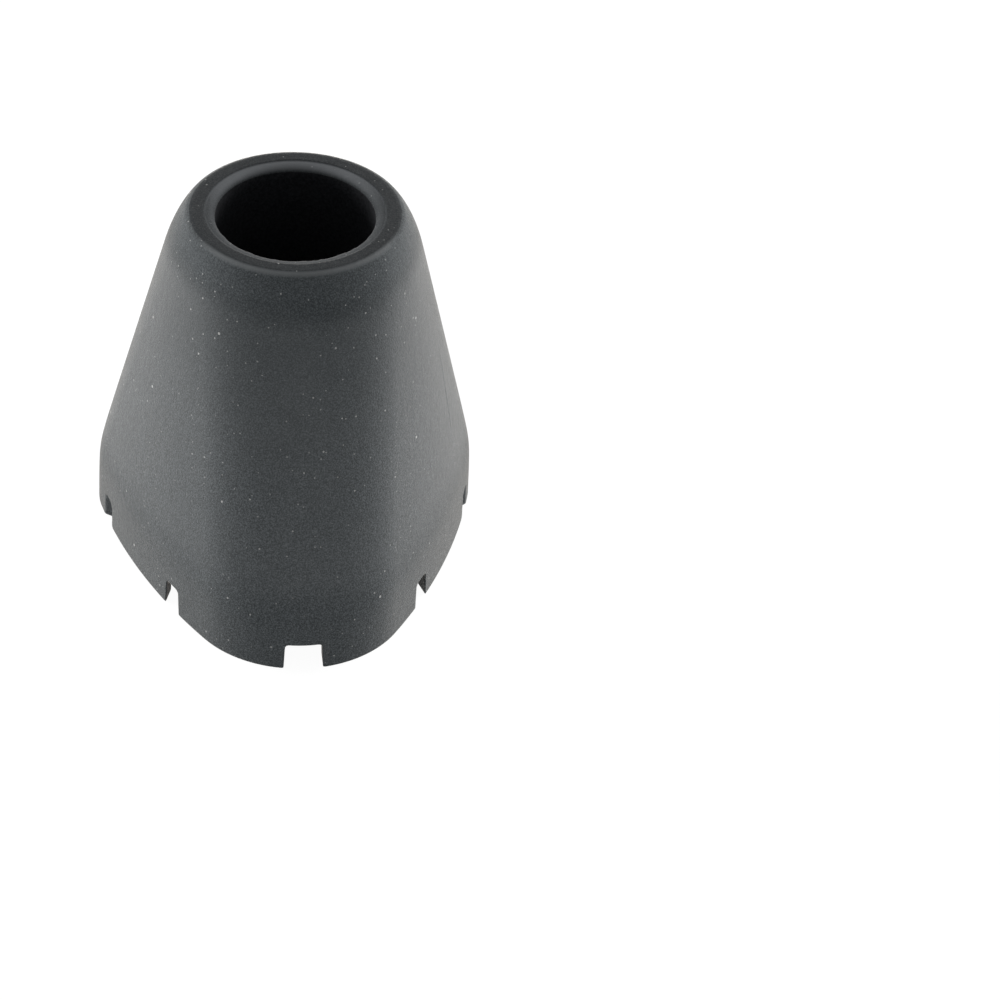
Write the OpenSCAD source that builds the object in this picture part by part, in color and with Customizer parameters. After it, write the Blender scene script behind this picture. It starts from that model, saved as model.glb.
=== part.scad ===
// Rubber cane tip: a tapered ferrule with a round socket and a treaded sole.
// Origin on the socket's axis at the middle of the sole, +Z up, front corner towards -Y.

/* [Body] */
// Height from the sole to the rim
height = 47.8; // [42:0.1:60]
// Height at which the upright skirt turns into the cone
skirt_h = 7.4; // [3:0.1:12]
// How softly the skirt turns into the cone
skirt_blend = 1.8; // [1:0.1:8]
// Width by which the shoulder stands out beyond the rim
shoulder_w = 1.35; // [0.5:0.05:3]
// Height of the rounded shoulder under the rim
shoulder_h = 6.6; // [3:0.1:10]

/* [Socket] */
// Diameter of the cane's shaft
shaft_d = 19; // [16:0.1:25.4]
// Depth of the socket
socket_depth = 34; // [20:0.5:36]
// Width of the rounding at the mouth of the socket
mouth_w = 1.25; // [0.4:0.05:2]
// Depth of the rounding at the mouth of the socket
mouth_h = 0.8; // [0.4:0.1:2]
// Width of the flat rim around the rounded mouth
rim_w = 1.9; // [1:0.05:4]

/* [Sole] */
// Depth of the tread
tread_depth = 3.5; // [2:0.1:5]
// Outer radius of the broken ring
ring_r = 15.9; // [14.5:0.1:17.5]
// Width of the broken ring
ring_w = 2.45; // [1.5:0.05:3.5]
// Width of the groove around the ring
groove_w = 2.45; // [1.5:0.05:3.5]
// Width of the border blocks at the middle of the left and right sides
side_w = 1.5; // [0.8:0.1:4]
// Width of the border blocks at the middle of the rear side
rear_w = 0.8; // [0.6:0.1:3]
// Distance from the axis to the front corner
front_reach = 26.7; // [24:0.1:32]
// Radius of the front corner
front_r = 13.7; // [10:0.1:16]
// Radius of the two rear corners
rear_r = 10; // [7:0.1:13]
// Radius to which the left and right sides are bowed
side_bow_r = 79; // [50:1:200]
// Radius to which the rear side is bowed
rear_bow_r = 100; // [50:1:300]

/* [Studs] */
// Radius of a stud
stud_r = 2.2; // [1.5:0.05:2.6]
// Distance from the axis to a stud
stud_place = 19.3; // [18.5:0.1:20.5]
// Depth by which a stud stays below the sole
stud_drop = 0.6; // [0.2:0.1:1.5]
// Radius of the pocket around a stud
pocket_r = 5; // [3.5:0.1:5.5]
// Radius of the shallow mark in a stud's top
mark_r = 1.4; // [0.6:0.1:1.4]
// Depth of the shallow mark in a stud's top
mark_depth = 0.2; // [0.1:0.05:0.4]
// Width of the ring's gap in front of a stud
ring_gap = 3.1; // [1.5:0.1:4.5]
// Width of the channel from a pocket to the corner
channel_w = 4.7; // [3:0.1:4.8]

/* [Notches] */
// Width of the front notches
front_notch_w = 2.1; // [1.4:0.1:2.6]
// Place on the groove where the front notches start, below the X axis
front_notch_place = 39.6; // [38:0.1:42]
// Heading of the front notches, below the X axis
front_notch_heading = 72; // [64:1:78]
// Width of the side notches
side_notch_w = 1.8; // [1.4:0.1:2.4]
// Place on the groove where the side notches start, above the X axis
side_notch_place = 2.2; // [1:0.1:4]
// Heading of the side notches, above the X axis
side_notch_heading = 35; // [28:1:38]
// Width of the rear notches where they leave the groove
rear_notch_in_w = 2; // [1.2:0.1:2.6]
// Width of the rear notches at the outer wall
rear_notch_out_w = 3.4; // [2:0.1:4]

/* [Rear blocks] */
// Width of the channel between the two rear blocks
rear_channel_w = 3.8; // [2.5:0.1:4.5]
// Width of a rear block at its inner end
rear_block_in_w = 1.3; // [1:0.1:2]
// Width of a rear block at the outer wall
rear_block_out_w = 4.4; // [3:0.1:5]
// Angle over which the ring is open behind
ring_open = 44.5; // [35:0.5:60]

/* [Centre tread] */
// Number of curved blocks around the centre pad
pad_count = 6; // [4:1:8]
// Radius of the round pad at the centre
pad_r = 3.6; // [2.5:0.1:4.2]
// Inner radius of the curved blocks
blocks_in_r = 6; // [5:0.1:7]
// Outer radius of the curved blocks
blocks_out_r = 10.9; // [9:0.1:11.5]
// Width of the grooves between the curved blocks
blocks_gap = 2.2; // [1.2:0.1:3]

/* [Hidden] */
rubber = [0.17, 0.175, 0.18];
over = 1;                 // how far a cut runs past the surface that it opens
wall_step = 5;            // degrees between the corners of a body section
skirt_levels = 8;         // body levels up to the top of the skirt's turn
cone_levels = 3;          // body levels from there to the shoulder
shoulder_levels = 6;      // body levels over the shoulder
shoulder_end = 75;        // degrees of the quarter ellipse that the shoulder keeps
mouth_steps = 6;          // steps of the quarter ellipse at the mouth
$fn = 96;

shaft_r = shaft_d / 2;
rim_r = shaft_r + mouth_w + rim_w;
top_r = rim_r + shoulder_w;
ring_in_r = ring_r - ring_w;
groove_r = ring_r + groove_w;
side_dist = groove_r + side_w;        // from the axis to the left and right sides
rear_dist = groove_r + rear_w;        // from the axis to the rear side
reach = front_reach + 2 * over;       // a radius that lies outside the sole everywhere

// The sole's outline is six arcs, each tangent to the next: front corner, right side,
// rear right corner, rear side, and the mirrored corner and side on the left.
front_c = [0, front_r - front_reach];
side_run = side_bow_r - side_dist;
side_sin = (pow(side_run, 2) + pow(front_c[1], 2) - pow(side_bow_r - front_r, 2))
    / (-2 * side_run * front_c[1]);
side_c = side_run * [-sqrt(1 - side_sin * side_sin), -side_sin];
rear_c = [0, rear_dist - rear_bow_r];

// Point at the distances ra from a and rb from b, on the right of the way from a to b.
function meeting(a, ra, b, rb) =
    let (way = b - a, run = norm(way), dir = way / run,
        along = (pow(ra, 2) - pow(rb, 2) + pow(run, 2)) / (2 * run))
    a + along * dir + sqrt(pow(ra, 2) - pow(along, 2)) * [dir[1], -dir[0]];
corner_c = meeting(rear_c, rear_bow_r - rear_r, side_c, side_bow_r - rear_r);

function heading(way) = atan2(way[1], way[0]);
arc_c = [front_c, side_c, corner_c, rear_c];
arc_r = [front_r, side_bow_r, rear_r, rear_bow_r];
arc_ends = [heading(front_c - side_c), heading(corner_c - side_c), heading(corner_c - rear_c)];
stud_dirs = [-90, 30, 150];

// Share of the way from the sole's outline to the round top, at height z.
function rise(z) = (z - skirt_h + sqrt(pow(z - skirt_h, 2) + pow(skirt_blend, 2))) / 2;
function share(z) = (rise(z) - rise(0)) / (rise(height) - rise(0));

// Arc that carries the wall whose outward direction is a, and its centre.
function lift(a) = asin(sin(a));
function arc_of(a) = lift(a) < arc_ends[0] ? 0 : lift(a) < arc_ends[1] ? 1 : lift(a) < arc_ends[2] ? 2 : 3;
function centre_of(a) = let (c = arc_c[arc_of(a)]) [cos(a) < 0 ? -c[0] : c[0], c[1]];
function wall_radius(a, s) = (1 - s) * arc_r[arc_of(a)] + s * top_r;
function wall_point(a, s, inset) =
    (1 - s) * centre_of(a) + (wall_radius(a, s) - inset) * [cos(a), sin(a)];

// Levels of the body as [height, inset].
turn_z = 2 * skirt_h;
cone_z = height - shoulder_h;
function shoulder_inset(t) = shoulder_w * (1 - cos(t)) / (1 - cos(shoulder_end));
levels = concat(
    [for (i = [0:skirt_levels]) [turn_z * i / skirt_levels, 0]],
    [for (i = [1:cone_levels]) [turn_z + (cone_z - turn_z) * i / cone_levels, 0]],
    [for (i = [1:shoulder_levels])
        let (t = shoulder_end * i / shoulder_levels)
        [cone_z + shoulder_h * sin(t) / sin(shoulder_end), shoulder_inset(t)]]);

module body() {
    dirs = [for (a = [wall_step / 2:wall_step:360]) a];
    n = len(dirs);
    top = len(levels) - 1;
    points = [for (level = levels) for (a = dirs)
        let (p = wall_point(a, share(level[0]), level[1])) [p[0], p[1], level[0]]];
    sides = [for (k = [0:top - 1]) for (i = [0:n - 1])
        let (j = (i + 1) % n, lo = k * n, hi = lo + n)
        each [[lo + i, hi + i, hi + j], [lo + i, hi + j, lo + j]]];
    bottom_face = [[for (i = [0:n - 1]) i]];
    top_face = [[for (i = [n - 1:-1:0]) top * n + i]];
    polyhedron(points, concat(sides, bottom_face, top_face), convexity = 4);
}

module socket() {
    translate([0, 0, height - socket_depth]) cylinder(h = socket_depth + over, r = shaft_r);
    lip_x = shaft_r + mouth_w;
    lip_z = height - mouth_h;
    lip = [for (i = [0:mouth_steps - 1])
        let (t = 90 * i / mouth_steps) [lip_x - mouth_w * cos(t), lip_z + mouth_h * sin(t)]];
    above = height + over;
    rotate_extrude() polygon(concat([[0, lip_z]], lip, [[lip_x, height], [lip_x, above], [0, above]]));
}

// A bar in the tread that runs outwards from the axis.
module bar(angle, width, from, to, depth) {
    rotate([0, 0, angle]) translate([from, -width / 2, -over])
        cube([to - from, width, depth + over]);
}

module both_sides() {
    children();
    mirror([1, 0, 0]) children();
}

// A straight notch from a place on the groove out through the wall.
module notch(place, heading, width) {
    translate(groove_r * [cos(place), sin(place)]) bar(heading, width, -over, reach, tread_depth);
}

module broken_ring() {
    difference() {
        cylinder(h = tread_depth, r = ring_r);
        translate([0, 0, -over]) cylinder(h = tread_depth + 2 * over, r = ring_in_r);
        for (a = stud_dirs) bar(a, ring_gap, 0, reach, tread_depth + over);
        translate([0, 0, -over]) linear_extrude(tread_depth + 2 * over)
            polygon([[0, 0], reach * [sin(ring_open / 2), cos(ring_open / 2)],
                [0, 2 * reach], reach * [-sin(ring_open / 2), cos(ring_open / 2)]]);
    }
}

// Outer edge of a rear block, at the distance y behind the axis.
function rear_edge_x(y) = rear_channel_w / 2 + rear_block_in_w
    + (rear_block_out_w - rear_block_in_w) * (y - ring_in_r) / (rear_dist - ring_in_r);

// The cuts beside a rear block run into it, so that the block alone gives their shared sides.
module rear_block() {
    end_y = rear_dist + 2 * over;
    linear_extrude(tread_depth)
        polygon([[rear_channel_w / 2, ring_in_r], [rear_edge_x(ring_in_r), ring_in_r],
            [rear_edge_x(end_y), end_y], [rear_channel_w / 2, end_y]]);
}

// The notch beside a rear block, from the groove out through the wall.
module rear_notch() {
    end_y = rear_dist + over;
    translate([0, 0, -over]) linear_extrude(tread_depth + over)
        polygon([[rear_edge_x(ring_r) - over, ring_r], [rear_edge_x(end_y) - over, end_y],
            [rear_edge_x(end_y) + rear_notch_out_w, end_y],
            [rear_edge_x(ring_r) + rear_notch_in_w, ring_r]]);
}

module centre_tread() {
    cylinder(h = tread_depth, r = pad_r);
    difference() {
        cylinder(h = tread_depth, r = blocks_out_r);
        translate([0, 0, -over]) cylinder(h = tread_depth + 2 * over, r = blocks_in_r);
        for (i = [0:pad_count - 1])
            bar(90 + 360 * i / pad_count, blocks_gap, 0, reach, tread_depth + over);
    }
}

module stud() {
    difference() {
        translate([0, 0, stud_drop]) cylinder(h = tread_depth - stud_drop, r = stud_r);
        translate([0, 0, stud_drop - over]) cylinder(h = mark_depth + over, r = mark_r);
    }
}

// What the tread takes out of the sole.
module tread_cut() {
    difference() {
        union() {
            translate([0, 0, -over]) cylinder(h = tread_depth + over, r = groove_r);
            for (a = stud_dirs) {
                rotate([0, 0, a]) translate([stud_place, 0, -over])
                    cylinder(h = tread_depth + over, r = pocket_r);
                bar(a, channel_w, stud_place, reach, tread_depth);
            }
            bar(90, rear_channel_w + over, ring_in_r, reach, tread_depth);
            both_sides() {
                notch(-front_notch_place, -front_notch_heading, front_notch_w);
                notch(side_notch_place, side_notch_heading, side_notch_w);
                rear_notch();
            }
        }
        broken_ring();
        both_sides() rear_block();
        centre_tread();
        for (a = stud_dirs) rotate([0, 0, a]) translate([stud_place, 0, 0]) stud();
    }
}

module cane_tip() {
    color(rubber) difference() {
        body();
        socket();
        tread_cut();
    }
}

cane_tip();
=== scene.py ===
"""Looks of a rubber cane tip, in metres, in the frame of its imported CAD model.

The CAD node is replaced by one moulded skin with the same sizes. The skin is a distance field,
sampled on a grid, thinned, set back on the field's zero and shaded with the field's own normals,
so that every edge has its small moulded radius.
"""
import math

import bpy
import numpy as np
from mathutils import Matrix, Vector


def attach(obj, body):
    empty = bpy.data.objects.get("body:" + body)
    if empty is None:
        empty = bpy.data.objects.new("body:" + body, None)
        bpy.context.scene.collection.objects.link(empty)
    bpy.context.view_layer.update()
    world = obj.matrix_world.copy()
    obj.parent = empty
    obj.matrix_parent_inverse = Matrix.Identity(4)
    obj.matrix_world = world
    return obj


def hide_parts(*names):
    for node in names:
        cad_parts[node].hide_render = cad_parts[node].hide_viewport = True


MM = 0.001
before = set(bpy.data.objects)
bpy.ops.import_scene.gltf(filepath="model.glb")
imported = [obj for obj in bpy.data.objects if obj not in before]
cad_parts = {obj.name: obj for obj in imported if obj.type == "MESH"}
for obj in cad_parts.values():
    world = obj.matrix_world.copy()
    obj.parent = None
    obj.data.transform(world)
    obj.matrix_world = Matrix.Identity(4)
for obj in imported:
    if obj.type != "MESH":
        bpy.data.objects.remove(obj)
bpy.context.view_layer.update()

# Sizes in millimetres, the same as the CAD source's
H = 47.8
SKIRT_H, SKIRT_BLEND = 7.4, 1.8
SHOULDER_W, SHOULDER_H, SHOULDER_END = 1.35, 6.6, math.radians(75)
SHAFT_R, SOCKET_DEPTH = 9.5, 34.0
MOUTH_W, MOUTH_H, RIM_W = 1.25, 0.8, 1.9
DEPTH = 3.5
RING_R, RING_W, GROOVE_W, SIDE_W, REAR_W = 15.9, 2.45, 2.45, 1.5, 0.8
FRONT_REACH, FRONT_R, REAR_R, SIDE_BOW, REAR_BOW = 26.7, 13.7, 10.0, 79.0, 100.0
STUD_R, STUD_PLACE, STUD_DROP = 2.2, 19.3, 0.6
POCKET_R, MARK_R, MARK_DEPTH = 5.0, 1.4, 0.2
RING_GAP, CHANNEL_W = 3.1, 4.7
FRONT_NOTCH, SIDE_NOTCH = (2.1, -39.6, -72.0), (1.8, 2.2, 35.0)
REAR_NOTCH_IN, REAR_NOTCH_OUT = 2.0, 3.4
REAR_CHANNEL, REAR_IN, REAR_OUT, RING_OPEN = 3.8, 1.3, 4.4, 44.5
PAD_R, BLOCKS_IN, BLOCKS_OUT, BLOCKS_GAP = 3.6, 6.0, 10.9, 2.2

RIM_R = SHAFT_R + MOUTH_W + RIM_W
TOP_R = RIM_R + SHOULDER_W
LIP_X, LIP_Z = SHAFT_R + MOUTH_W, H - MOUTH_H
FLOOR_Z = H - SOCKET_DEPTH
RING_IN = RING_R - RING_W
GROOVE_R = RING_R + GROOVE_W
SIDE, REAR = GROOVE_R + SIDE_W, GROOVE_R + REAR_W


def tangent_arcs():
    """Centre, radius and the range of outward directions of each arc of the right half."""
    front = np.array([0.0, FRONT_R - FRONT_REACH])
    run = SIDE_BOW - SIDE
    lean = (run ** 2 + front[1] ** 2 - (SIDE_BOW - FRONT_R) ** 2) / (-2 * run * front[1])
    side = run * np.array([-math.sqrt(1 - lean ** 2), -lean])
    rear = np.array([0.0, REAR - REAR_BOW])
    ra, rb = REAR_BOW - REAR_R, SIDE_BOW - REAR_R
    way = side - rear
    gap = math.hypot(*way)
    way /= gap
    at = (ra ** 2 - rb ** 2 + gap ** 2) / (2 * gap)
    corner = rear + at * way + math.sqrt(ra ** 2 - at ** 2) * np.array([way[1], -way[0]])
    ends = [math.atan2(*(p - q)[::-1]) for p, q in ((front, side), (corner, side), (corner, rear))]
    ends = [-math.pi / 2] + ends + [math.pi / 2]
    rows = zip((front, side, corner, rear), (FRONT_R, SIDE_BOW, REAR_R, REAR_BOW), ends, ends[1:])
    return [(c[0], c[1], r, lo, hi) for c, r, lo, hi in rows]


ARCS = tangent_arcs()
CONE_Z = H - SHOULDER_H

# Moulded radii in millimetres, and the draft of the tread's sides as a slope
SOLE_EDGE, RIM_EDGE, WALL_EDGE, PLAN_EDGE, ROOT, SOCKET_ROOT = 0.18, 0.4, 0.14, 0.25, 0.45, 0.9
BLOCK_EDGE, STUD_EDGE, MARK_EDGE = 0.5, 0.3, 0.08
DRAFT = 0.04

# Small signs of moulding: each one's size, width and place, in millimetres
LIP_STEP, LIP_STEP_W = 0.13, 0.24
SEAM, SEAM_W, SEAM_Y, SEAM_LOW, SEAM_HIGH = 0.045, 0.15, -0.6, 15, 29
FLASH, FLASH_H, FLASH_Z = 0.1, 0.2, LIP_Z + 0.4
MARK_X, MARK_Y = 0.3, -0.15  # Offset of the shallow mark on a stud

# The net's grid reaches a little past the part.
GRID_X, GRID_Y = (-23.6, 23.7), (-27.4, 20.2)
GRID_STEP, TRIANGLES = ((0.17, 190000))

# How far the wall pulls in from sole to rim, and the height where the bore's wall becomes the mouth's
WALL_PULL, MOUTH_FROM = 8.0, 30


def round_max(a, b, r):
    """Both solids at once, with the shared edge rounded to r."""
    return np.minimum(-r, np.maximum(a, b)) + np.hypot(np.maximum(r + a, 0), np.maximum(r + b, 0))


def round_min(a, b, r):
    """Either solid, with the inner corner filled to r."""
    return -round_max(-a, -b, r)


def rise(z):
    return (z - SKIRT_H + np.sqrt((z - SKIRT_H) ** 2 + SKIRT_BLEND ** 2)) / 2


def share(z):
    return (rise(z) - rise(0.0)) / (rise(H) - rise(0.0))


def inset(z):
    s = np.clip((z - CONE_Z) / SHOULDER_H, 0, 1) * math.sin(SHOULDER_END)
    bow = SHOULDER_W * (1 - np.sqrt(1 - s * s)) / (1 - math.cos(SHOULDER_END))
    return bow + 1.1 * np.maximum(z - H, 0)


def wall(x, y, z):
    """Outer wall: six tangent arcs at the sole that turn into one circle towards the rim.

    x is mirrored. The distance is right for a wall that pulls in by WALL_PULL over its height.
    """
    s = share(z)
    d = np.full(np.broadcast(x, y, z).shape, -WALL_PULL)
    for cx, cy, r, lo, hi in ARCS:
        dx, dy = x - cx * (1 - s), y - cy * (1 - s)
        aim = np.arctan2(dy, dx)
        within = (aim >= lo) & (aim <= hi)
        d = np.where(within, np.maximum(d, np.hypot(dx, dy) - (1 - s) * r - s * TOP_R), d)
    d = d + inset(z)
    step = 0.05
    pull = WALL_PULL * (share(z + step) - share(z - step))
    lean = (inset(z + step) - inset(z - step) + pull) / (2 * step)
    return d / np.sqrt(1 + lean ** 2)


def mouth(rho, z):
    """Solid around the socket and under the rim. The elliptical lip starts a little under its face."""
    z = z + LIP_STEP * np.clip((LIP_X + LIP_STEP_W / 2 - rho) / LIP_STEP_W, 0, 1)
    u, v = (LIP_X - rho) / MOUTH_W, (z - LIP_Z) / MOUTH_H
    k0 = np.hypot(u, v)
    k1 = np.hypot(u / MOUTH_W, v / MOUTH_H) + 1e-6
    return np.where((u > 0) & (v > 0), k0 * (k0 - 1) / k1, np.maximum(SHAFT_R - rho, z - H))


def flash(x, y, z):
    """Thin broken film of rubber that the mould's core leaves at the front of the bore's start."""
    a = np.arctan2(y, x)
    waves = np.sin(17 * a + 0.7 + np.sin(5 * a)) * np.sin(6 * a + 2.1)
    waves = waves + 0.5 * np.sin(47 * a + 2 * np.sin(9 * a))
    height = np.exp(-((z - FLASH_Z) / FLASH_H) ** 2)
    return FLASH * np.clip(waves + 0.2, 0, 1) * np.clip(-y / 3, 0, 1) * height


def seam(x, y, z):
    """Faint line on the right, where the halves of the mould met. It fades out at both ends."""
    ends = np.clip((z - SEAM_LOW) / 3, 0, 1) * np.clip((SEAM_HIGH - z) / 4, 0, 1)
    return SEAM * np.exp(-((y - SEAM_Y) / SEAM_W) ** 2) * ends * (x > 0)


def along(x, y, degrees):
    a = math.radians(degrees)
    return x * math.cos(a) + y * math.sin(a), -x * math.sin(a) + y * math.cos(a)


def bar(x, y, degrees, width, start):
    u, v = along(x, y, degrees)
    return np.maximum(np.abs(v) - width / 2, start - u)


def notch(x, y, width, place, heading):
    a = math.radians(place)
    return bar(x - GROOVE_R * math.cos(a), y - GROOVE_R * math.sin(a), heading, width, -1.0)


def rear_edge(y):
    return REAR_CHANNEL / 2 + REAR_IN + (REAR_OUT - REAR_IN) * (y - RING_IN) / (REAR - RING_IN)


REAR_LEAN = 1 / math.hypot(1, (REAR_OUT - REAR_IN) / (REAR - RING_IN))
PX, PY = STUD_PLACE * math.cos(math.radians(30)), STUD_PLACE * math.sin(math.radians(30))


def sole_plan(x, y):
    """Distance to the tread's blocks as seen from below, less than zero inside one. x is mirrored."""
    rho = np.hypot(x, y)
    gap = rho - GROOVE_R
    out = (y - RING_R) / (REAR + 1 - RING_R)
    notch_edge = rear_edge(y) + REAR_NOTCH_IN + (REAR_NOTCH_OUT - REAR_NOTCH_IN) * out
    for other in (
        np.hypot(x, y + STUD_PLACE) - POCKET_R,
        np.hypot(x - PX, y - PY) - POCKET_R,
        bar(x, y, -90, CHANNEL_W, STUD_PLACE),
        bar(x, y, 30, CHANNEL_W, STUD_PLACE),
        bar(x, y, 90, REAR_CHANNEL, RING_IN),
        notch(x, y, *FRONT_NOTCH),
        notch(x, y, *SIDE_NOTCH),
        np.maximum(np.maximum((rear_edge(y) - x) * REAR_LEAN, RING_R - y),
                   (x - notch_edge) * REAR_LEAN),
    ):
        gap = round_min(gap, other, PLAN_EDGE)
    blocks = -gap
    ring = np.maximum(rho - RING_R, RING_IN - rho)
    for degrees in (-90, 30):
        ring = round_max(ring, -bar(x, y, degrees, RING_GAP, 0), PLAN_EDGE)
    half = math.radians(RING_OPEN / 2)
    wedge = np.maximum(x * math.cos(half) - y * math.sin(half), -y)
    ring = round_max(ring, -wedge, PLAN_EDGE)
    rear = np.maximum(REAR_CHANNEL / 2 - x, (x - rear_edge(y)) * REAR_LEAN)
    rear = round_max(rear, RING_IN - y, PLAN_EDGE)
    cuts = np.minimum(np.minimum(np.abs(along(x, y, 30)[1]), np.abs(along(x, y, -30)[1])), np.abs(x))
    pads = round_max(np.maximum(rho - BLOCKS_OUT, BLOCKS_IN - rho), BLOCKS_GAP / 2 - cuts, BLOCK_EDGE)
    return np.minimum(np.minimum(np.minimum(blocks, ring), rear), np.minimum(pads, rho - PAD_R))


def field(x, y, z, plan=None):
    """Signed distance to the tip's surface in millimetres, less than zero in the rubber."""
    mx = np.abs(x)
    if plan is None:
        plan = sole_plan(mx, y)
    tread = round_min(plan - DRAFT * z, DEPTH - z, ROOT)
    for sx, sy in ((0.0, -STUD_PLACE), (PX, PY), (-PX, PY)):
        run = np.hypot(x - sx, y - sy)
        stud = round_max(run - STUD_R - 2 * DRAFT * z, STUD_DROP - z, STUD_EDGE)
        mark = np.hypot(x - sx - MARK_X, y - sy - MARK_Y) - MARK_R
        mark = np.maximum(mark, z - STUD_DROP - MARK_DEPTH)
        stud = round_max(stud, -mark, MARK_EDGE)
        tread = round_min(tread, stud, ROOT)
    tread = round_max(tread, -z, SOLE_EDGE)
    rho = np.hypot(x, y)
    hole = round_max(rho - SHAFT_R, FLOOR_Z - z, SOCKET_ROOT)
    inner = np.where(z < MOUTH_FROM, -hole, mouth(rho + flash(x, y, z), z))
    upper = round_max(wall(mx, y, z) - seam(x, y, z), inner, RIM_EDGE)
    return round_max(upper, tread, WALL_EDGE)


def gradient(p, step=0.02):
    g = np.empty_like(p)
    for i in range(3):
        hi, lo = p.copy(), p.copy()
        hi[:, i] += step
        lo[:, i] -= step
        g[:, i] = (field(*hi.T) - field(*lo.T)) / (2 * step)
    return g


def settle(p, longest=0.15):
    """Moves points onto the field's zero, in three steps that are no longer than this."""
    for _ in range(3):
        g = gradient(p)
        move = (field(*p.T) / np.maximum((g * g).sum(1), 0.05))[:, None] * g
        size = np.linalg.norm(move, axis=1)[:, None]
        p = p - move * np.minimum(1, longest / np.maximum(size, 1e-9))
    return p


def levels_z(fine):
    """Grid heights: fine in the tread, the floor of the socket and the mouth, wider between them."""
    z, out = -0.5, []
    while z < H + 0.6:
        out.append(z)
        if z < DEPTH + 0.8 or z > H - 1.6:
            step = fine
        elif abs(z - FLOOR_Z - 0.4) < 1.0:
            step = fine * 1.5
        elif z > CONE_Z - 0.5:
            step = fine * 2.2
        elif z < 13:
            step = fine * 3
        else:
            step = fine * 5
        z += step
    return np.array(out)


def bridge(f):
    """Fills a grid point where two inside points meet only across a square's diagonal.

    The net would touch itself along an edge there. The points go back to the true surface later.
    """
    for u, v in ((0, 1), (1, 2), (2, 0)):
        steps = np.zeros((4, 3), int)
        steps[1, u] = steps[2, v] = 1
        steps[3] = steps[1] + steps[2]
        size = np.array(f.shape) - steps[3]
        a, b, c, d = [f[tuple(slice(s, s + n) for s, n in zip(step, size))] < 0 for step in steps]
        for square in np.argwhere((a == d) & (b == c) & (a != b)):
            corners = [tuple(square + step) for step in steps]
            f[min((corner for corner in corners if f[corner] >= 0), key=f.__getitem__)] = -1e-4
    return f


def surface_net(fine):
    """Quads around the field's zero on a grid, each corner at the mean of its cell's crossings."""
    xs = np.arange(GRID_X[0] - fine / 3, GRID_X[1], fine)
    ys = np.arange(GRID_Y[0], GRID_Y[1], fine)
    zs = levels_z(fine)
    gx, gy = np.meshgrid(xs, ys, indexing="ij")
    plan = sole_plan(np.abs(gx), gy)
    f = bridge(np.stack([field(gx, gy, z, plan) for z in zs], axis=2).astype(np.float32))
    inside = f < 0
    nx, ny, nz = f.shape
    axes = (xs, ys, zs)
    total = np.zeros((nx - 1, ny - 1, nz - 1, 3), np.float32)
    count = np.zeros((nx - 1, ny - 1, nz - 1), np.float32)
    cuts = []
    for axis in range(3):
        lo = [slice(None)] * 3
        hi = [slice(None)] * 3
        lo[axis], hi[axis] = slice(None, -1), slice(1, None)
        a, b = inside[tuple(lo)], inside[tuple(hi)]
        idx = np.argwhere(a != b)
        ends = f[tuple(lo)][tuple(idx.T)], f[tuple(hi)][tuple(idx.T)]
        t = ends[0] / (ends[0] - ends[1])
        p = np.stack([axes[k][idx[:, k]] for k in range(3)], axis=1)
        places = axes[axis]
        p[:, axis] += t * (places[idx[:, axis] + 1] - places[idx[:, axis]])
        u, v = [k for k in range(3) if k != axis]
        for du in (-1, 0):
            for dv in (-1, 0):
                cell = idx.copy()
                cell[:, u] += du
                cell[:, v] += dv
                np.add.at(total, tuple(cell.T), p.astype(np.float32))
                np.add.at(count, tuple(cell.T), 1)
        cuts.append((axis, idx, a[tuple(idx.T)]))
    used = count > 0
    number = np.full(count.shape, -1, np.int64)
    number[used] = np.arange(used.sum())
    points = (total[used] / count[used][:, None]).astype(np.float64)
    quads = []
    for axis, idx, first_in in cuts:
        u, v = [(1, 2), (2, 0), (0, 1)][axis]
        corners = []
        for du, dv in ((-1, -1), (0, -1), (0, 0), (-1, 0)):
            cell = idx.copy()
            cell[:, u] += du
            cell[:, v] += dv
            corners.append(number[tuple(cell.T)])
        quad = np.stack(corners, axis=1)
        quad[~first_in] = quad[~first_in][:, ::-1]
        quads.append(quad)
    return points, np.concatenate(quads)


def mesh_from(name, points, faces):
    mesh = bpy.data.meshes.new(name)
    sides = faces.shape[1]
    mesh.vertices.add(len(points))
    mesh.vertices.foreach_set("co", points.astype(np.float32).ravel())
    mesh.loops.add(faces.size)
    mesh.loops.foreach_set("vertex_index", faces.astype(np.int32).ravel())
    mesh.polygons.add(len(faces))
    mesh.polygons.foreach_set("loop_start", np.arange(0, faces.size, sides, dtype=np.int32))
    mesh.update(calc_edges=True)
    return mesh


def put(obj):
    bpy.context.scene.collection.objects.link(obj)
    return obj


def weld(points, faces):
    """Merges points that meet to a thousandth of a millimetre, and drops faces that this closes up.

    Where it lays two faces on each other, both go.
    """
    _, first, back = np.unique(np.round(points, 3), axis=0, return_index=True, return_inverse=True)
    faces = back.reshape(-1)[faces]
    a, b, c = faces.T
    faces = faces[(a != b) & (b != c) & (c != a)]
    _, same, times = np.unique(np.sort(faces, axis=1), axis=0, return_inverse=True, return_counts=True)
    return points[first], faces[times[same.reshape(-1)] == 1]


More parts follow.
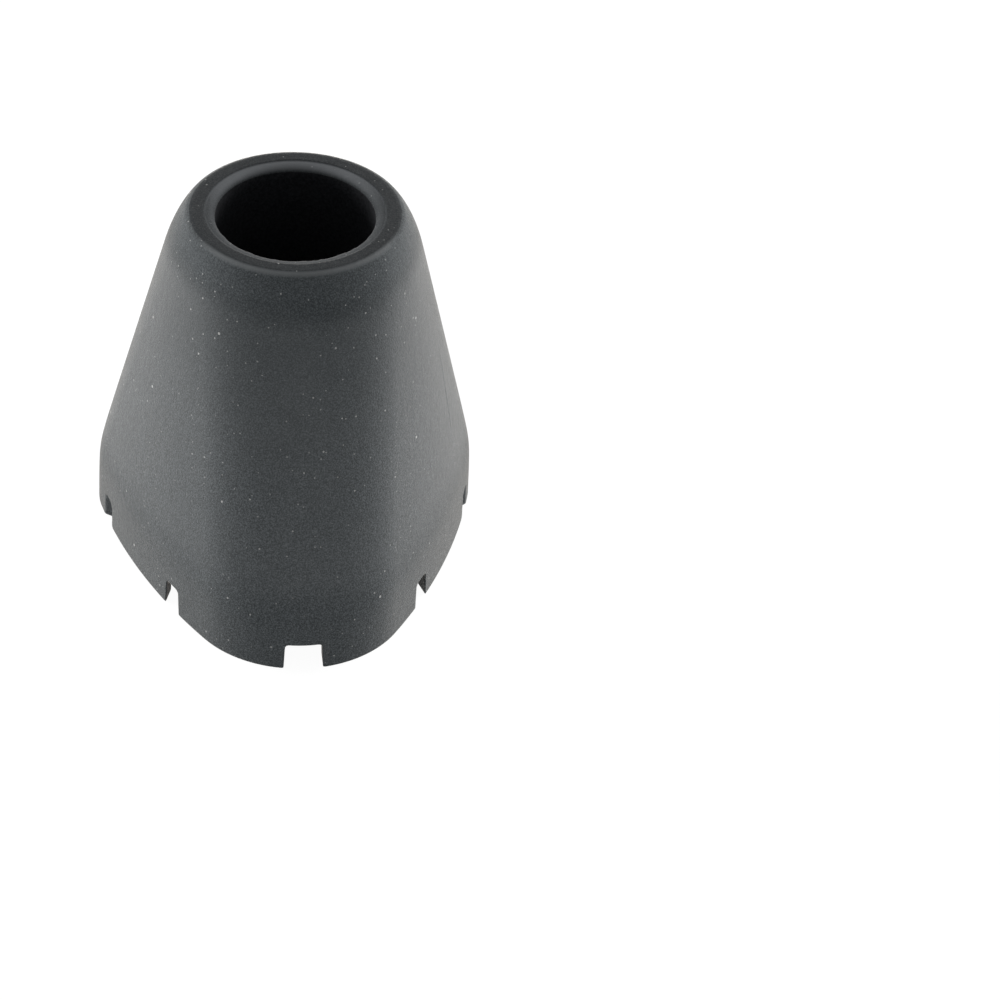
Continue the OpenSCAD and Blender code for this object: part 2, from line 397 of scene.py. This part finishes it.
def moulded_skin(name, fine, target):
    points, quads = surface_net(fine)
    points = settle(points)
    rough = put(bpy.data.objects.new("grid", mesh_from("grid", points, quads)))
    thin = rough.modifiers.new("thin", "DECIMATE")
    thin.ratio = min(1.0, target / (2 * len(quads)))
    thin.use_collapse_triangulate = True
    done = rough.evaluated_get(bpy.context.evaluated_depsgraph_get()).to_mesh()
    p = np.empty(len(done.vertices) * 3, np.float32)
    done.vertices.foreach_get("co", p)
    done.calc_loop_triangles()
    tri = np.empty(len(done.loop_triangles) * 3, np.int32)
    done.loop_triangles.foreach_get("vertices", tri)
    rough.to_mesh_clear()
    bpy.data.objects.remove(rough)
    p, tri = weld(settle(p.reshape(-1, 3).astype(np.float64)), tri.reshape(-1, 3))
    normal = gradient(p)
    normal /= np.maximum(np.linalg.norm(normal, axis=1), 1e-9)[:, None]
    mesh = mesh_from(name, p * MM, tri)
    mesh.polygons.foreach_set("use_smooth", np.ones(len(mesh.polygons), bool))
    mesh.normals_split_custom_set_from_vertices(normal.tolist())
    mesh.validate()
    return put(bpy.data.objects.new(name, mesh))


# Materials: tones that lie over the rubber's own: painted light on the lip, a painted highlight on the
# rim's edge, flash and dust
PAINTED_LIP_LIGHT_TONE, RIM_HIGHLIGHT_TONE = (0.19, 0.20, 0.21), (0.15, 0.16, 0.165)
FLASH_TONE, DUST_TONE = (0.15, 0.15, 0.148), (0.42, 0.42, 0.41)
SHEEN_TINT = (1.0, 0.94, 0.87, 1)
# Cells in a metre, a speck's radius in cells, the share of cells that stay bare, brightness
DUST = ((420, 0.07, 0.86, 0.8), (800, 0.1, 0.82, 0.6), (1500, 0.14, 0.84, 0.45))


def node_tree(name):
    mat = bpy.data.materials.new(name)
    mat.use_nodes = True
    tree = mat.node_tree
    tree.nodes.clear()
    return mat, tree


def add(tree, kind, **values):
    node = tree.nodes.new(kind)
    for key, value in values.items():
        if key in node.inputs:
            node.inputs[key].default_value = value
        else:
            setattr(node, key, value)
    return node


def noise(tree, where, scale, detail=2.0, rough=0.5):
    node = add(tree, "ShaderNodeTexNoise", Scale=scale, Detail=detail, Roughness=rough)
    tree.links.new(where, node.inputs["Vector"])
    return node.outputs["Fac"]


def ramp(tree, value, *stops):
    node = add(tree, "ShaderNodeValToRGB")
    band = node.color_ramp.elements
    while len(band) < len(stops):
        band.new(0.5)
    for element, (at, colour) in zip(band, stops):
        element.position = at
        element.color = (*colour, 1) if isinstance(colour, tuple) else (colour, colour, colour, 1)
    tree.links.new(value, node.inputs["Fac"])
    return node.outputs["Color"]


def blend(tree, factor, a, b):
    node = add(tree, "ShaderNodeMix", data_type="RGBA")
    for value, socket in ((factor, node.inputs[0]), (a, node.inputs[6]), (b, node.inputs[7])):
        if isinstance(value, (int, float)):
            socket.default_value = value
        elif isinstance(value, tuple):
            socket.default_value = (*value, 1)
        else:
            tree.links.new(value, socket)
    return node.outputs[2]


def maths(tree, how, a, b=0.0, c=0.0):
    node = add(tree, "ShaderNodeMath", operation=how)
    for value, socket in zip((a, b, c), node.inputs):
        if isinstance(value, (int, float)):
            socket.default_value = value
        else:
            tree.links.new(value, socket)
    return node.outputs[0]


def span(tree, value, start, end):
    """From 0 at start to 1 at end, both in millimetres."""
    node = add(tree, "ShaderNodeMapRange", interpolation_type="SMOOTHSTEP")
    node.inputs["From Min"].default_value = start * MM
    node.inputs["From Max"].default_value = end * MM
    tree.links.new(value, node.inputs["Value"])
    return node.outputs[0]


def shaded(name, gloss):
    """Material with one shader: the material, its tree, the shader and the place on the part."""
    mat, tree = node_tree(name)
    out = add(tree, "ShaderNodeOutputMaterial")
    shader = add(tree, "ShaderNodeBsdfPrincipled")
    shader.inputs["Specular IOR Level"].default_value = gloss
    tree.links.new(shader.outputs[0], out.inputs["Surface"])
    return mat, tree, shader, add(tree, "ShaderNodeTexCoord").outputs["Object"]


def emboss(tree, shader, height, strength, distance):
    bump = add(tree, "ShaderNodeBump")
    bump.inputs["Strength"].default_value = strength
    bump.inputs["Distance"].default_value = distance
    tree.links.new(height, bump.inputs["Height"])
    tree.links.new(bump.outputs[0], shader.inputs["Normal"])


def both(tree, *masks):
    """Product of masks."""
    result = masks[0]
    for mask in masks[1:]:
        result = maths(tree, "MULTIPLY", result, mask)
    return result


def around_axis(tree, where):
    """Distance from the part's axis, y and z of a place."""
    spot = add(tree, "ShaderNodeSeparateXYZ")
    tree.links.new(where, spot.inputs[0])
    flat = add(tree, "ShaderNodeCombineXYZ")
    tree.links.new(spot.outputs["X"], flat.inputs["X"])
    tree.links.new(spot.outputs["Y"], flat.inputs["Y"])
    length = add(tree, "ShaderNodeVectorMath", operation="LENGTH")
    tree.links.new(flat.outputs[0], length.inputs[0])
    return length.outputs["Value"], spot.outputs["Y"], spot.outputs["Z"]


def dusted(tree, where, colour):
    """Pale specks of three sizes over a colour."""
    for scale, size, bare, bright in DUST:
        cells = add(tree, "ShaderNodeTexVoronoi", Scale=scale)
        tree.links.new(where, cells.inputs["Vector"])
        tone = add(tree, "ShaderNodeSeparateColor")
        tree.links.new(cells.outputs["Color"], tone.inputs[0])
        speck = both(tree, maths(tree, "LESS_THAN", cells.outputs["Distance"], size),
                     maths(tree, "GREATER_THAN", tone.outputs[0], bare), bright)
        colour = blend(tree, speck, colour, DUST_TONE)
    return colour


def rubber(name, bloom, gloss, low, high, grit):
    """Grained rubber, with painted light on the lip and a painted highlight on the front of the rim's
    edge. Bloom is the pale sheen of its surface.
    """
    mat, tree, shader, where = shaded(name, gloss)
    shader.inputs["Sheen Weight"].default_value = bloom
    shader.inputs["Sheen Roughness"].default_value = 0.3
    shader.inputs["Sheen Tint"].default_value = SHEEN_TINT
    rho, y, z = around_axis(tree, where)
    # Cloudy colour with fine grit, which thins towards the top as painted shade on the upper wall, and
    # is dense on the shoulder
    cloud = ramp(tree, noise(tree, where, 70, 5, 0.6), (0.35, 0.0), (0.68, 1.0))
    colour = blend(tree, cloud, low, high)
    fine = ramp(tree, noise(tree, where, 5600, 3, 0.7), (0.42, 0.0), (0.68, 1.0))
    grit_and_top_shade = maths(tree, "MULTIPLY_ADD", span(tree, z, 42, 20), 0.45, 0.65)
    shoulder = span(tree, z, H - 5, H - 2)
    grit_and_top_shade = maths(tree, "MULTIPLY_ADD", shoulder, 0.35, grit_and_top_shade)
    colour = blend(tree, both(tree, fine, grit_and_top_shade), colour, grit)
    colour = blend(tree, both(tree, shoulder, 0.15), colour, grit)
    # Painted light: the lip is pale, most at the back, where light falls on the far lip, and least at
    # the front.
    lip = both(tree, span(tree, rho, LIP_X + 0.1, LIP_X - 0.2),
               span(tree, z, LIP_Z - 0.1, LIP_Z + 0.65))
    pale = maths(tree, "MULTIPLY_ADD", span(tree, y, 0, 9), 0.7, 0.22)
    colour = blend(tree, both(tree, lip, pale), colour, PAINTED_LIP_LIGHT_TONE)
    # Painted highlight: the front of the rim's outer edge is pale, where its rounding catches the
    # light.
    painted_rim_highlight = both(tree, span(tree, rho, RIM_R - 0.5, RIM_R - 0.1), span(tree, z, H - 0.5, H - 0.1),
                span(tree, y, -4, -9), 0.8)
    colour = blend(tree, painted_rim_highlight, colour, RIM_HIGHLIGHT_TONE)
    # Flash: a fine, faint and broken pale line on the lip's front
    ragged = ramp(tree, noise(tree, where, 3600, 3, 0.7), (0.42, 0.0), (0.66, 1.0))
    line = both(tree, span(tree, rho, SHAFT_R + 0.6, SHAFT_R + 0.4), span(tree, z, LIP_Z, LIP_Z + 0.25),
                span(tree, z, LIP_Z + 0.7, LIP_Z + 0.5), span(tree, y, 1, -3), ragged, 0.3)
    colour = blend(tree, line, colour, FLASH_TONE)
    tree.links.new(dusted(tree, where, colour), shader.inputs["Base Color"])
    # Roughness in large and small patches
    rough = add(tree, "ShaderNodeMapRange")
    rough.inputs["To Min"].default_value = 0.42
    rough.inputs["To Max"].default_value = 0.82
    rubbed = maths(tree, "ADD", both(tree, noise(tree, where, 75, 3, 0.55), 0.75),
                   both(tree, noise(tree, where, 700, 3), 0.25))
    tree.links.new(rubbed, rough.inputs["Value"])
    # The skirt is scuffed, and the shoulder and the lip are dull: rougher than the cone.
    dull = rough.outputs[0]
    for mask, more in ((span(tree, z, 13, 7), 0.2), (span(tree, z, H - 7, H - 2.5), 0.3), (lip, 0.3)):
        dull = maths(tree, "ADD", dull, both(tree, mask, more))
    tree.links.new(dull, shader.inputs["Roughness"])
    grain = maths(tree, "ADD", both(tree, noise(tree, where, 4600, 3, 0.65), 0.7),
                  both(tree, noise(tree, where, 1200, 2), 0.5))
    # Faint streaks along the wall, from the mould
    squash = add(tree, "ShaderNodeVectorMath", operation="MULTIPLY")
    squash.inputs[1].default_value = (1, 1, 0.05)
    tree.links.new(where, squash.inputs[0])
    streak = noise(tree, squash.outputs[0], 900, 3, 0.6)
    grain = maths(tree, "ADD", grain, both(tree, streak, 0.35))
    emboss(tree, shader, grain, 0.6, 0.00012)
    return mat


def seen_directly(tree):
    """One for the rays that see the pale background: camera, glossy and transmission rays."""
    path = add(tree, "ShaderNodeLightPath")
    seen = maths(tree, "MAXIMUM", path.outputs["Is Camera Ray"], path.outputs["Is Glossy Ray"])
    return maths(tree, "MAXIMUM", seen, path.outputs["Is Transmission Ray"])


def bore_shade_rubber():
    """The bore is dull, without the pale bloom of the outside, and is painted near black without the
    outside's pale grit: painted shade inside the socket.
    """
    mat, tree, shader, where = shaded("bore_shade_rubber", 0.08)
    grain = noise(tree, where, 2600, 3, 0.65)
    colour = ramp(tree, grain, (0.35, (0.005, 0.0054, 0.0064)), (0.7, (0.018, 0.019, 0.0215)))
    tree.links.new(colour, shader.inputs["Base Color"])
    tree.links.new(ramp(tree, grain, (0.3, 0.78), (0.7, 0.9)), shader.inputs["Roughness"])
    emboss(tree, shader, grain, 0.4, 0.0001)
    return mat


def set_finishes(mesh):
    """Wall, rim and bore take the first, second and third material. The rim's and the bore's are
    darker, as painted shade.
    """
    middle = np.empty(len(mesh.polygons) * 3, np.float32)
    mesh.polygons.foreach_get("center", middle)
    x, y, z = middle.reshape(-1, 3).T / MM
    rho = np.hypot(x, y)
    bore_top = LIP_Z - 0.12
    rim = (z > H - 0.09) | ((rho < RIM_R - 0.6) & (z > bore_top))
    bore = (rho < SHAFT_R + 0.1) & (z <= bore_top) & (z > FLOOR_Z - 0.5)
    mesh.polygons.foreach_set("material_index", np.where(bore, 2, np.where(rim, 1, 0)).astype(np.int32))


def pale_floor():
    mat, tree = node_tree("pale_floor")
    out = add(tree, "ShaderNodeOutputMaterial")
    card = add(tree, "ShaderNodeBsdfDiffuse", Color=(0.86, 0.86, 0.86, 1))
    glow = add(tree, "ShaderNodeEmission", Color=(1, 1, 1, 1), Strength=1.1)
    mix = add(tree, "ShaderNodeMixShader")
    tree.links.new(both(tree, seen_directly(tree), 0.87), mix.inputs[0])
    tree.links.new(card.outputs[0], mix.inputs[1])
    tree.links.new(glow.outputs[0], mix.inputs[2])
    tree.links.new(mix.outputs[0], out.inputs["Surface"])
    return mat


# Camera: its place and directions, fitted to the mouth's circles and the sole's edge in the photograph
CAMERA_AT = (-0.0428, -0.5332, 0.4147)
CAMERA_RIGHT, CAMERA_AHEAD = (0.99445, -0.09705, 0.04057), (0.10168, 0.78817, -0.60699)

# Lamps: name, place, aim, width, height in metres, and watts
LAMPS = (
    ("left_box", (-0.64, 0.33, 0.12), (0, 0, 0.10), 0.45, 0.24, 8.2),
    ("right_box", (0.64, 0.33, 0.12), (0, 0, 0.10), 0.45, 0.24, 8.2),
    ("front_box", (0.05, -0.75, 0.06), (0, 0, 0.03), 0.8, 0.12, 1.0),
)


def place_camera():
    right = Vector(CAMERA_RIGHT)
    back = -Vector(CAMERA_AHEAD).normalized()
    right = (right - back * right.dot(back)).normalized()
    up = back.cross(right)
    data = bpy.data.cameras.new("camera")
    data.lens = 198.0
    data.sensor_width = 36.0
    data.clip_start = 0.05
    cam = put(bpy.data.objects.new("camera", data))
    spin = Matrix((right, up, back)).transposed().to_4x4()
    cam.matrix_world = Matrix.Translation(Vector(CAMERA_AT)) @ spin
    bpy.context.scene.camera = cam


def place_lamp(name, where, at, width, height, watts):
    data = bpy.data.lights.new(name, "AREA")
    data.shape = "RECTANGLE"
    data.size = width
    data.size_y = height
    data.energy = watts
    lamp = put(bpy.data.objects.new(name, data))
    lamp.location = where
    lamp.rotation_euler = (Vector(at) - Vector(where)).to_track_quat("-Z", "Y").to_euler()


def studio():
    world = bpy.data.worlds.new("studio")
    bpy.context.scene.world = world
    world.use_nodes = True
    tree = world.node_tree
    tree.nodes.clear()
    out = add(tree, "ShaderNodeOutputWorld")
    back = add(tree, "ShaderNodeBackground", Color=(1, 1, 1, 1))
    strength = blend(tree, seen_directly(tree), (0.34, 0.34, 0.34), (1.0, 1.0, 1.0))
    tree.links.new(strength, back.inputs["Strength"])
    tree.links.new(back.outputs[0], out.inputs["Surface"])
    for lamp in LAMPS:
        place_lamp(*lamp)


bpy.context.scene.view_settings.view_transform = "Standard"
skin = moulded_skin("moulded_tip", GRID_STEP, TRIANGLES)
for finish in (
    rubber("wall_rubber", 0.58, 0.42,
           (0.0075, 0.0115, 0.0135), (0.0175, 0.0215, 0.0235), (0.086, 0.096, 0.102)),
    # The rim's copy of the rubber has darker grit and less sheen: painted shade on the top face.
    rubber("rim_shade_rubber", 0.12, 0.26,
           (0.011, 0.0135, 0.0155), (0.016, 0.019, 0.0215), (0.050, 0.054, 0.057)),
    bore_shade_rubber(),
):
    skin.data.materials.append(finish)
set_finishes(skin.data)
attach(skin, "root")
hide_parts("cane_tip")

FLOOR_REACH = 4.0
corners = FLOOR_REACH * np.array([[-1, -1, 0], [1, -1, 0], [1, 1, 0], [-1, 1, 0]])
floor = put(bpy.data.objects.new("floor", mesh_from("floor", corners, np.array([[0, 1, 2, 3]]))))
floor.data.materials.append(pale_floor())
place_camera()
studio()
